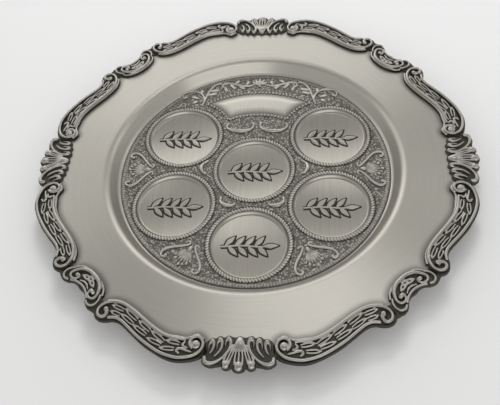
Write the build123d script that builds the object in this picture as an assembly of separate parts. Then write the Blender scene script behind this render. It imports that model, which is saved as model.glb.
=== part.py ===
"""Seder plate.

A spun sheet dish with a wide flange carries a pressed medallion on a ledge round its well. Six rope-edged
cups drop through the medallion and stand on the dish's floor, and a blank beaded plaque lies above the
centre cup. Sixteen castings, four shells, eight laurel bands and four corner scrolls, sit on the flange and
cover its edge.

Millimetres, +Z up, origin at the centre of the resting face. The front of the plate is at -Y.
"""
import os
from math import cos, degrees, hypot, pi, radians, sin, sqrt

from build123d import *

# Metal and fits
SHEET = 1.2  # dish
THIN_SHEET = 0.8  # medallion and cups
FIT = 0.3  # room round each bowl, each lip and the dish's edge
SEAM = 0.1  # solder seam between two castings

# Cups
CUP_CIRCLE = 82.0  # centres of the five outer cups
CUP_ANGLES = {
    "shank_bone_cup": 30,
    "egg_cup": 150,
    "greens_cup": 210,
    "lettuce_cup": 270,
    "sweet_paste_cup": 330,
}
LIP_RADIUS = 38.5
LIP_WIDTH = 4.2
LIP_BASE = 0.5  # square part under the half-round
LIP_HEIGHT = 1.4  # crest above the medallion
CUP_DEPTH = 4.8  # cup floor below the medallion
BOWL_SLOPE = 1.2  # lean of the bowl's wall
BOWL_CURVE = 4.2  # radius between bowl wall and floor
SPRIG_LENGTH = 46.0
SPRIG_HEIGHT = 0.6

# Medallion
EDGE_MARGIN = 5.0  # from the outer lips to the medallion's edge
EDGE_BEAD = 1.8
RELIEF = 1.5  # scrolls above the ground
LEAF_RELIEF = 1.1

# Plaque
PLAQUE_INNER = 67.0
PLAQUE_OUTER = 101.0
PLAQUE_SIDE = 45.5  # side arcs, about the two cups beside it
PLAQUE_SHEET = 0.6
PLAQUE_FRAME = 3.4  # beaded margin round the smooth panel
PLAQUE_PANEL = 0.5  # panel above the margin
PEARL = 2.2
PEARL_PITCH = 4.2

# Dish
STEP_GAP = 2.7  # from the outer bowls to the step under the ledge
WALL_GAP = 1.1  # from the medallion's edge to the wall
WALL_RUN = 8.0
WELL_DEPTH = 12.7  # flange above the medallion
FLANGE_RADIUS = 186.5

# Castings, heights above the flange
SKIRT_DROP = 2.0
BASE_RISE = 1.8
RAIL_RISE = 4.2
LEAF_RISE = 3.3
KNOB_RISE = 4.8
SHELL_SPLIT = 8.3  # joint between shell and band, degrees from the shell's axis
CORNER_SPLIT = 37.4  # joint between band and corner
LEAF_PAIRS = 5
LEAF_PITCH = 12.2

# Levels and radii that follow
FLOOR_Z = SHEET
CUP_FLOOR_Z = FLOOR_Z + THIN_SHEET
GROUND_Z = CUP_FLOOR_Z + CUP_DEPTH
LEDGE_Z = GROUND_Z - THIN_SHEET
FLANGE_Z = GROUND_Z + WELL_DEPTH
BOWL_RADIUS = LIP_RADIUS - LIP_WIDTH
HOLE_RADIUS = BOWL_RADIUS + THIN_SHEET + FIT
MEDALLION_RADIUS = CUP_CIRCLE + LIP_RADIUS + EDGE_MARGIN
LEDGE_RADIUS = CUP_CIRCLE + BOWL_RADIUS + THIN_SHEET + STEP_GAP
WELL_RADIUS = MEDALLION_RADIUS + WALL_GAP
FLANGE_START = WELL_RADIUS + WALL_RUN
BASE_Z = FLANGE_Z + BASE_RISE

# The border's plan is drawn for a flange of this radius, and the medallion's for a medallion of this one
PLAN_FLANGE = 186.5
PLAN_MEDALLION = 125.5
BORDER_SCALE = FLANGE_RADIUS / PLAN_FLANGE
MEDALLION_SCALE = MEDALLION_RADIUS / PLAN_MEDALLION


def unit(dx, dy):
    """Direction of (dx, dy), with length 1."""
    size = hypot(dx, dy)
    return dx / size, dy / size


def headings(points):
    """Heading at each point of a smooth run, from the circle through it and its neighbours."""
    chords = [unit(b[0] - a[0], b[1] - a[1]) for a, b in zip(points, points[1:])]
    spans = [hypot(b[0] - a[0], b[1] - a[1]) for a, b in zip(points, points[1:])]
    inner = []
    for i in range(len(chords) - 1):
        dx = chords[i][0] * spans[i + 1] + chords[i + 1][0] * spans[i]
        dy = chords[i][1] * spans[i + 1] + chords[i + 1][1] * spans[i]
        inner.append(unit(dx, dy))
    if not inner:
        return [chords[0], chords[0]]

    def mirrored(chord, heading):
        along = chord[0] * heading[0] + chord[1] * heading[1]
        return 2 * along * chord[0] - heading[0], 2 * along * chord[1] - heading[1]

    return [mirrored(chords[0], inner[0])] + inner + [mirrored(chords[-1], inner[-1])]


def tangent_piece(start, heading, end):
    """Arc from start to end that leaves along heading, or a line where the two agree."""
    cx, cy = unit(end[0] - start[0], end[1] - start[1])
    if abs(cx * heading[1] - cy * heading[0]) < 1e-4:
        return Edge.make_line((*start, 0), (*end, 0))
    return Edge.make_tangent_arc((*start, 0), (*heading, 0), (*end, 0))


def smooth_run(points):
    """Tangent arcs through the points, two between each pair."""
    edges = []
    turns = headings(points)
    for (p, q), (s, t) in zip(zip(points, points[1:]), zip(turns, turns[1:])):
        vx, vy = q[0] - p[0], q[1] - p[1]
        along = vx * (s[0] + t[0]) + vy * (s[1] + t[1])
        bend = 2 * (1 - s[0] * t[0] - s[1] * t[1])
        far = vx * vx + vy * vy
        if bend < 1e-5:
            reach = far / (2 * along)
        else:
            reach = (sqrt(along * along + bend * far) - along) / bend
        ax, ay = p[0] + s[0] * reach, p[1] + s[1] * reach
        bx, by = q[0] - t[0] * reach, q[1] - t[1] * reach
        joint = (ax + bx) / 2, (ay + by) / 2
        edges.append(tangent_piece(p, s, joint))
        edges.append(tangent_piece(joint, unit(bx - ax, by - ay), q))
    return edges


def scaled(points, factor):
    """Plan points, enlarged by factor."""
    return [(x * factor, y * factor) for x, y in points]


def flipped(points):
    """The run on the other side of the shell's axis, drawn the other way."""
    return [(-x, y) for x, y in reversed(points)]


def across(points):
    """The run on the other side of the corner's diagonal, drawn the other way."""
    return [(y, x) for x, y in reversed(points)]


def outline(*runs):
    """Face bounded by smooth runs, joined end to end by straight lines."""
    edges = []
    for run, after in zip(runs, runs[1:] + runs[:1]):
        edges += smooth_run(run) if len(run) > 1 else []
        if hypot(run[-1][0] - after[0][0], run[-1][1] - after[0][1]) > 1e-6:
            edges.append(Edge.make_line((*run[-1], 0), (*after[0], 0)))
    face = Face(Wire(edges))
    return face if face.normal_at().Z > 0 else -face


def prism(face, low, high, taper=0.0):
    """Solid on a plan face from one level to another."""
    return Pos(0, 0, low) * extrude(face, amount=high - low, taper=taper)


def ridge(points, width, low, high):
    """Rail along a smooth run: straight sides, an arched crest and round ends."""
    side, shoulder = width / 2, high - 0.4 * width
    flank = [(-side, shoulder), (-side, low), (side, low), (side, shoulder)]
    section = make_face([*Polyline(*flank).edges(), ThreePointArc(flank[-1], (0, high), flank[0])])
    half = make_face([*Polyline((0, high), (0, low), *flank[2:]).edges(),
                      ThreePointArc(flank[-1], (side / 2, high - 0.1 * width), (0, high))])
    path = Wire(smooth_run(points))
    way = path.tangent_at(0)
    start = Plane(origin=path.position_at(0), x_dir=(-way.Y, way.X, 0), z_dir=way)
    post = revolve(Plane.XZ * half, Axis.Z)
    return [sweep(start * section, path=path), Pos(*points[0]) * post, Pos(*points[-1]) * post]


def petal(tail, tip, width, low, high, taper=0.0):
    """Leaf between two points, bounded by two arcs."""
    mx, my = (tail[0] + tip[0]) / 2, (tail[1] + tip[1]) / 2
    dx, dy = unit(tip[0] - tail[0], tip[1] - tail[1])
    side = width / 2
    right = ThreePointArc(tail, (mx + dy * side, my - dx * side), tip)
    left = ThreePointArc(tip, (mx - dy * side, my + dx * side), tail)
    return prism(make_face([right, left]), low, high, taper)


def crescent(tail, middle, tip, width, low, high):
    """Curved stroke through three points, widest at the middle one and pointed at both ends."""
    dx, dy = unit(tip[0] - tail[0], tip[1] - tail[1])
    side = width / 2
    right = ThreePointArc(tail, (middle[0] + dy * side, middle[1] - dx * side), tip)
    left = ThreePointArc(tip, (middle[0] - dy * side, middle[1] + dx * side), tail)
    return prism(make_face([right, left]), low, high)


def dome(at, radius, low, crest):
    """Ball standing on a level, with its crest at another; the half below the level is left off."""
    middle = crest - radius
    ball = Pos(*at, middle) * Sphere(radius)
    keep = Pos(*at, low) * Cylinder(2 * radius, 4 * radius, align=(Align.CENTER, Align.CENTER, Align.MIN))
    return ball & keep


def sector(start, end):
    """Wedge about the plate's axis between two angles, taller and wider than any casting."""
    reach = 2 * FLANGE_RADIUS
    corners = [(0, 0)]
    for angle in (start, end):
        corners.append((reach * cos(radians(angle)), reach * sin(radians(angle))))
    return Pos(0, 0, -FLANGE_Z) * extrude(make_face(Polyline(*corners, close=True)), amount=4 * FLANGE_Z)


def sheet_of_revolution(profile, bends, thickness):
    """Spun sheet from its upper profile, rounded at each inner corner."""
    path = FilletPolyline(*[(r, z) for r, z in profile], radius=bends)
    section = Wire(path.edges()).offset_2d(thickness, side=Side.RIGHT)
    return revolve(Plane.XZ * make_face(section), Axis.Z)


def one_solid(shape):
    """The single solid of a shape."""
    solids = shape.solids()
    if len(solids) != 1:
        raise ValueError(f"{len(solids)} solids where one is meant")
    return solids[0]


def cup_centre(angle):
    """Plan position of an outer cup."""
    return CUP_CIRCLE * cos(radians(angle)), CUP_CIRCLE * sin(radians(angle))


def make_dish():
    """Floor, step, ledge, ogee wall and flange, spun from one sheet."""
    rise = FLANGE_Z - LEDGE_Z
    profile = [
        (0, FLOOR_Z),
        (LEDGE_RADIUS - 1.6, FLOOR_Z),
        (LEDGE_RADIUS, LEDGE_Z),
        (WELL_RADIUS, LEDGE_Z),
        (WELL_RADIUS + 0.55 * WALL_RUN, LEDGE_Z + 0.3 * rise),
        (FLANGE_START, FLANGE_Z),
        (FLANGE_RADIUS, FLANGE_Z),
    ]
    bends = [1.5, 1.7, 0.9, 5.0, 4.2]
    return sheet_of_revolution(profile, bends, SHEET)


def make_cup():
    """Bowl with a flat floor, a half-round lip and a leaf sprig, about its own axis."""
    lip_z = GROUND_Z + LIP_BASE
    profile = [(0, CUP_FLOOR_Z), (BOWL_RADIUS - BOWL_SLOPE, CUP_FLOOR_Z), (BOWL_RADIUS, lip_z)]
    bowl = sheet_of_revolution(profile, [BOWL_CURVE], THIN_SHEET)
    middle = LIP_RADIUS - LIP_WIDTH / 2
    corners = [(BOWL_RADIUS, lip_z), (BOWL_RADIUS, GROUND_Z), (LIP_RADIUS, GROUND_Z), (LIP_RADIUS, lip_z)]
    flank = Polyline(*corners)
    crest = ThreePointArc((LIP_RADIUS, lip_z), (middle, GROUND_Z + LIP_HEIGHT), (BOWL_RADIUS, lip_z))
    lip = revolve(Plane.XZ * make_face([*flank.edges(), crest]), Axis.Z)
    whole = bowl + lip
    for piece in sprig():
        whole = whole + piece
    return one_solid(whole)


def sprig():
    """Raised leaf sprig on a cup's floor: a stem with leaves on both sides and one at its end."""
    low, high = CUP_FLOOR_Z - THIN_SHEET / 2, CUP_FLOOR_Z + SPRIG_HEIGHT
    half = SPRIG_LENGTH / 2
    pieces = [crescent((-half, -1.0), (0, 0.8), (half - 10, -0.6), 1.8, low, high)]
    pieces.append(petal((half - 11.5, -0.4), (half, 0.4), 5.0, low, high))
    for i in range(4):
        root = -half + 5.0 + 7.6 * i
        pieces.append(petal((root, -0.2), (root + 8.2, 8.6), 4.6, low, high))
        pieces.append(petal((root + 2.5, 0.2), (root + 10.7, -8.6), 4.6, low, high))
    return pieces


def plaque_plan(margin):
    """Plan of the plaque, drawn in from its edge by margin: four arcs, two about the cups beside it."""
    ring = Circle(PLAQUE_OUTER - margin) - Circle(PLAQUE_INNER + margin)
    for name in ("shank_bone_cup", "egg_cup"):
        ring -= Pos(*cup_centre(CUP_ANGLES[name])) * Circle(PLAQUE_SIDE + margin)
    window = Pos(0, PLAQUE_OUTER / 2) * Rectangle(1.6 * CUP_CIRCLE, PLAQUE_OUTER)
    faces = (ring & window).faces()
    top = max(faces, key=lambda face: face.center().Y)
    return top if top.normal_at().Z > 0 else -top


def make_plaque():
    """Smooth panel in a margin of pearls."""
    base_z = GROUND_Z + PLAQUE_SHEET
    base = prism(plaque_plan(0), GROUND_Z, base_z)
    panel = prism(plaque_plan(PLAQUE_FRAME), base_z - PLAQUE_SHEET / 2, base_z + PLAQUE_PANEL)
    pearls = []
    for edge in plaque_plan(PLAQUE_FRAME / 2).outer_wire().edges():
        count = max(1, round(edge.length / PEARL_PITCH))
        for i in range(count):
            spot = edge.position_at((i + 0.5) / count)
            pearls.append(Pos(spot.X, spot.Y, base_z) * Sphere(PEARL / 2))
    floor = prism(plaque_plan(0), GROUND_Z - PEARL, GROUND_Z)
    return one_solid(base.fuse(panel, *pearls) - floor)


def spray():
    """Fan of leaves between two curved arms that end in a ball, drawn along +X from the plate's centre."""
    low, high = GROUND_Z - THIN_SHEET / 2, GROUND_Z + RELIEF
    pieces = []
    for side in (1, -1):
        arm = [(97, 2.6 * side), (108.4, 8.6 * side), (116.6, 19.4 * side)]
        tail, middle, tip = scaled(arm, MEDALLION_SCALE)
        pieces.append(crescent(tail, middle, tip, 3.2, low, high))
        pieces.append(dome(scaled([(117.6, 17.6 * side)], MEDALLION_SCALE)[0], 2.2, low, high + 0.3))
    for angle, length in ((0, 22.0), (18, 20.0), (-18, 20.0)):
        tip = 100.5 + length * cos(radians(angle)), length * sin(radians(angle))
        tail, tip = scaled([(100.5, 0.1 * tip[1]), tip], MEDALLION_SCALE)
        pieces.append(petal(tail, tip, 4.6, low, GROUND_Z + LEAF_RELIEF))
    return pieces


def right_scrolls():
    """Right half of the scrolls and leaves above the plaque, under it and round the centre cup."""
    low, high = GROUND_Z - THIN_SHEET / 2, GROUND_Z + RELIEF
    strokes = [
        ((57, 84), (61.5, 98.5), (78, 95)),
        ((56, 85), (53, 98), (44, 110.5)),
        ((4, 111.5), (20, 109.5), (37, 112.5)),
        ((3.5, 57), (16, 47), (29, 55.5)),
        ((44, 9), (49.5, 2.5), (46, -5)),
        ((28.5, -33.5), (26, -39.5), (17, -41.5)),
    ]
    leaves = [
        ((52, 100), (41, 102.5)),
        ((49, 105), (38, 108)),
        ((60.5, 96), (65.5, 104.5)),
        ((32, 112), (25, 104.5)),
        ((26, 111.5), (19, 118.5)),
        ((3, 112), (9, 120.5)),
    ]
    pieces = []
    for stroke in strokes:
        pieces.append(crescent(*scaled(stroke, MEDALLION_SCALE), 3.2, low, high))
    for ends in leaves:
        pieces.append(petal(*scaled(ends, MEDALLION_SCALE), 4.4, low, GROUND_Z + LEAF_RELIEF))
    return pieces


def make_medallion():
    """Pierced disc with a beaded edge, its scrolls and leaves kept clear of the lips and the plaque."""
    disc = prism(Circle(MEDALLION_RADIUS), LEDGE_Z, GROUND_Z)
    inside = MEDALLION_RADIUS - EDGE_BEAD
    corners = [(inside, GROUND_Z), (inside, LEDGE_Z), (MEDALLION_RADIUS, LEDGE_Z), (MEDALLION_RADIUS, GROUND_Z)]
    flank = Polyline(*corners)
    top =(MEDALLION_RADIUS + inside) / 2, GROUND_Z + EDGE_BEAD / 2
    arch = ThreePointArc((MEDALLION_RADIUS, GROUND_Z), top, (inside, GROUND_Z))
    whole = disc + revolve(Plane.XZ * make_face([*flank.edges(), arch]), Axis.Z)
    relief = []
    for angle in (0, 180, 240, 300):
        relief += [Rot(0, 0, angle) * piece for piece in spray()]
    for piece in right_scrolls():
        relief += [piece, mirror(piece, about=Plane.YZ)]
    relief.append(petal(*scaled([(0, 110.5), (0, 122.5)], MEDALLION_SCALE), 4.6, LEDGE_Z + THIN_SHEET / 2,
                        GROUND_Z + LEAF_RELIEF))
    for piece in relief:
        whole = whole + piece
    top = GROUND_Z + 2 * RELIEF
    bars = [prism(plaque_plan(-FIT), GROUND_Z, top)]
    for spot in [(0, 0)] + [cup_centre(angle) for angle in CUP_ANGLES.values()]:
        bars.append(Pos(*spot) * prism(Circle(HOLE_RADIUS), 0, top))
        bars.append(Pos(*spot) * prism(Circle(LIP_RADIUS + FIT), GROUND_Z, top))
    for bar in bars:
        whole = whole - bar
    return one_solid(whole)


def seated(base, relief, start, end):
    """Casting trimmed to its stretch of the border and hollowed to sit over the dish's edge."""
    seam = degrees(SEAM / 2 / FLANGE_RADIUS)
    seat = Cylinder(FLANGE_RADIUS + FIT, FLANGE_Z, align=(Align.CENTER, Align.CENTER, Align.MIN))
    whole = base
    for piece in relief:
        whole = whole + piece
    return one_solid((whole & sector(start + seam, end - seam)) - seat)


def make_shell():
    """Shell: a knob, three ribbed lobes and a fluted wing on each side, its axis along +Y."""
    inner = [(0, 173.4), (8.5, 172.8), (15, 172.8), (21, 174.2), (25, 178), (27.6, 182)]
    outer = [(29, 188), (27.4, 193.5), (23.5, 196.9), (18.5, 197.1), (14, 195.5), (8, 195.5), (0, 196)]
    half = scaled(inner, BORDER_SCALE)
    rim = scaled(outer, BORDER_SCALE)
    base = prism(outline(flipped(half) + half[1:], rim + flipped(rim)[1:]), FLANGE_Z - SKIRT_DROP, BASE_Z)
    rail_z, rib_z = FLANGE_Z + RAIL_RISE, FLANGE_Z + LEAF_RISE
    low = BASE_Z - BASE_RISE / 2
    lobes = [((0, 198.0), 3.9), ((9.3, 197.2), 3.6), ((-9.3, 197.2), 3.6)]
    relief = []
    for spot, radius in lobes:
        face = Pos(*scaled([spot], BORDER_SCALE)[0]) * Circle(radius)
        relief.append(prism(face, FLANGE_Z - SKIRT_DROP, BASE_Z))
    ribs = [((0, 183), (0, 201.4), 3.2), ((1.4, 184), (3.2, 200), 2.6), ((2.5, 184), (10.2, 200.2), 3.4),
            ((2.2, 186), (7.2, 199.8), 2.4), ((4.6, 184), (12.2, 198.4), 2.6)]
    flutes = [((8.6, 173.6), (13, 190), 4.2), ((15, 173.6), (18.2, 191.5), 4.2),
              ((21, 175), (22.2, 189), 3.6)]
    wing = [(6.8, 175.5), (7.3, 182), (10, 188.2), (14, 192.6), (19, 195), (22.6, 195), (25, 192.6),
            (23.8, 189.8)]
    for side in (1, -1):
        for tail, tip, width in ribs + flutes:
            ends = scaled([(side * tail[0], tail[1]), (side * tip[0], tip[1])], BORDER_SCALE)
            relief.append(petal(ends[0], ends[1], width, low, rib_z, 24.0))
        relief += ridge(scaled([(side * x, y) for x, y in wing], BORDER_SCALE), 2.0, low, rail_z)
    relief.append(dome(scaled([(0, 179.5)], BORDER_SCALE)[0], 4.6, low, FLANGE_Z + KNOB_RISE))
    return seated(base, relief, 90 - SHELL_SPLIT, 90 + SHELL_SPLIT)


def make_band():
    """Laurel band on the +X side of the shell: two rails, a scroll at each end and paired leaves between."""
    outer = [(25, 185.5), (28, 189), (31, 191.2), (37, 193.2), (45, 194.1), (52, 193.3), (60, 190.2),
             (67.5, 186.0), (75, 181.2), (85, 172.8), (92, 166.6), (97, 163.2), (102, 161.9), (108, 162.6),
             (113, 161.8), (116.6, 158.8), (118.6, 153)]
    inner = [(113, 146.9), (108, 145.2), (103, 144.9), (98, 145.8), (92.5, 148.3), (85, 153.2), (77.5, 159.2),
             (70, 165.2), (62.5, 170.3), (55, 173.8), (48, 175.0), (42, 176.0), (37.8, 175.2), (33, 173.2),
             (28.2, 176.0), (25, 180.5)]
    plan = outline(scaled(outer, BORDER_SCALE), scaled(inner, BORDER_SCALE))
    base = prism(plan, FLANGE_Z - SKIRT_DROP, BASE_Z)
    low = BASE_Z - BASE_RISE / 2
    rail_z, leaf_z = FLANGE_Z + RAIL_RISE, FLANGE_Z + LEAF_RISE
    outer_rail = [(36.5, 184.5), (38, 180.8), (36.5, 177), (33, 175), (29.3, 177.3), (28, 182), (30.2, 187),
                  (35.5, 190.6), (43, 192.2), (50, 192.1), (60, 188.8), (70, 183), (80, 175.7), (90, 166.8),
                  (95, 162.8), (100, 160.6), (106, 160.6)]
    inner_rail = [(42, 178), (48, 176.7), (55, 175.2), (62.5, 171.7), (70, 166.6), (77.5, 160.6), (85, 154.6),
                  (92.5, 149.5), (100, 146.7), (106, 146.8), (111, 148.6), (114.6, 152.4), (114.6, 157),
                  (111, 159.6), (107.6, 157.4), (108, 153.6)]
    relief = ridge(scaled(outer_rail, BORDER_SCALE), 2.4, low, rail_z)
    relief += ridge(scaled(inner_rail, BORDER_SCALE), 2.2, low, rail_z)
    for spot, radius in (((33.4, 182.8), 2.4), ((111, 155.2), 2.2)):
        relief.append(dome(scaled([spot], BORDER_SCALE)[0], radius, low, rail_z + 0.3))
    spine = [(44, 184.6), (50, 184.4), (60, 180.9), (70, 174.8), (80, 167.3), (90, 159.2), (98, 154.4),
             (106, 153)]
    path = Wire(smooth_run(scaled(spine, BORDER_SCALE)))
    for i in range(LEAF_PAIRS):
        start = (1.0 + i * LEAF_PITCH) * BORDER_SCALE / path.length
        end = (13.4 + i * LEAF_PITCH) * BORDER_SCALE / path.length
        root, reach, way = path.position_at(start), path.position_at(end), path.tangent_at(end)
        for side in (3.3, -3.3):
            tail = root.X - 0.2 * side * way.Y, root.Y + 0.2 * side * way.X
            tip = reach.X - side * way.Y, reach.Y + side * way.X
            relief.append(petal(tail, tip, 4.6, low, leaf_z, 24.0))
    return seated(base, relief, 90 - CORNER_SPLIT, 90 - SHELL_SPLIT)


def make_corner():
    """Corner scroll between +X and +Y: a C-scroll, a concave outer rail and a fan of leaves."""
    inner = [(111.5, 147), (114.4, 144.6), (114.4, 140.5), (114.2, 136), (116.2, 130.8), (119, 126.4),
             (122.4, 122.4)]
    outer = [(117, 155), (121, 153.4), (125, 150.4), (126.9, 146), (127.6, 141.6), (130, 137.4), (134, 134)]
    edge = scaled(inner, BORDER_SCALE)
    rim = scaled(outer, BORDER_SCALE)
    plan = outline(edge + across(edge)[1:], (rim + across(rim)[1:])[::-1])
    base = prism(plan, FLANGE_Z - SKIRT_DROP, BASE_Z)
    low = BASE_Z - BASE_RISE / 2
    rail_z, leaf_z = FLANGE_Z + RAIL_RISE, FLANGE_Z + LEAF_RISE
    scroll = [(120.6, 138.8), (123, 140.2), (122, 143.4), (118.4, 143.4), (116, 140), (115.9, 135.2),
              (117.9, 130.6), (120.6, 126.8), (123.7, 123.7)]
    hook = [(119.4, 148.4), (120.4, 151.2), (123.4, 150.4), (124.8, 146.6), (125.8, 141.6), (128.6, 136.4),
            (132.4, 132.4)]
    leaves = [((122, 132), (127, 137.6)), ((121, 135.4), (124, 143.4)), ((117, 146), (119, 150.4))]
    relief = []
    for run in (scroll, hook):
        half = scaled(run, BORDER_SCALE)
        relief += ridge(half + across(half)[1:], 2.4, low, rail_z)
    for ends in leaves:
        tail, tip = scaled(ends, BORDER_SCALE)
        relief.append(petal(tail, tip, 4.2, low, leaf_z, 24.0))
        relief.append(petal(tail[::-1], tip[::-1], 4.2, low, leaf_z, 24.0))
    tail, tip = scaled([(125, 125), (131, 131)], BORDER_SCALE)
    relief.append(petal(tail, tip, 4.6, low, leaf_z, 24.0))
    return seated(base, relief, CORNER_SPLIT, 90 - CORNER_SPLIT)


def build():
    """Every node by name."""
    nodes = {"dish": make_dish(), "medallion": make_medallion(), "plaque": make_plaque()}
    cup = make_cup()
    nodes["bitter_herb_cup"] = cup
    for name, angle in CUP_ANGLES.items():
        nodes[name] = Pos(*cup_centre(angle)) * cup
    shell = make_shell()
    band = make_band()
    other_band = mirror(band, about=Plane.YZ)
    corner = make_corner()
    sides = (("back", "right", "left", 0), ("right", "front", "back", -90), ("front", "left", "right", 180),
             ("left", "back", "front", 90))
    for side, clockwise, counter, turn in sides:
        nodes[f"shell_mount_{side}"] = Rot(0, 0, turn) * shell
        nodes[f"laurel_band_{side}_{clockwise}"] = Rot(0, 0, turn) * band
        nodes[f"laurel_band_{side}_{counter}"] = Rot(0, 0, turn) * other_band
    for place, turn in (("back_right", 0), ("front_right", -90), ("front_left", 180), ("back_left", 90)):
        nodes[f"corner_scroll_{place}"] = Rot(0, 0, turn) * corner
    return nodes


def main():
    """Build the plate and write one file for each node."""
    os.makedirs("parts", exist_ok=True)
    for name, shape in build().items():
        solid = one_solid(shape)
        solid.label = name
        export_step(solid, f"parts/{name}.step")
        box = solid.bounding_box()
        print(f"{name}: {solid.volume:.0f} mm3, z {box.min.Z:.2f} to {box.max.Z:.2f}, valid {solid.is_valid}")


main()
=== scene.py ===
"""Seder plate in antiqued pewter.

A brushed dish, a stippled medallion, rope-edged cups, a beaded plaque and a cast border.
"""

import logging
import math
from dataclasses import dataclass, field
from enum import Enum

import bmesh
import bpy
from mathutils import Matrix, Vector, noise
from mathutils.kdtree import KDTree


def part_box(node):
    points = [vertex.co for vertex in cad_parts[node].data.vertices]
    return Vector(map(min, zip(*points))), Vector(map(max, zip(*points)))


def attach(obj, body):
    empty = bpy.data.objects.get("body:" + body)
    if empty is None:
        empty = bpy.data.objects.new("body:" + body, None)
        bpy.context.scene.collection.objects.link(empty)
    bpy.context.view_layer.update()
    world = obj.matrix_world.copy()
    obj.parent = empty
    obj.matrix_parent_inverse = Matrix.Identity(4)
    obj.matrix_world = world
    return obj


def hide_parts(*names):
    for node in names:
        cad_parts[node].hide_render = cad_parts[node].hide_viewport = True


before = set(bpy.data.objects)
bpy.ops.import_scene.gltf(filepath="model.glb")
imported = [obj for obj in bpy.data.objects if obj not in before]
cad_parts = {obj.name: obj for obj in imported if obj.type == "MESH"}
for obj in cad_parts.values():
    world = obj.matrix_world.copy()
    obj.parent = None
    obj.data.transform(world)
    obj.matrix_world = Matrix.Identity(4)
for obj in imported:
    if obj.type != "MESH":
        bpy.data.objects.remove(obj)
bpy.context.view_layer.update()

LOG = logging.getLogger("seder_plate")
MM = 0.001
Point = tuple[float, float]
Colour = tuple[float, float, float]
PATINA_GRAIN = 420.0
BRUSH_LINES = 1300.0
ROUND_STREAKS = 2.2
STRAIGHT_STREAKS = 22.0
KEPT_FACES = 0.4


class Brush(Enum):
    """Direction of the brushing on a finish."""

    ROUND = "round the plate's axis"
    STRAIGHT = "front to back"
    NONE = "none"


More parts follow.
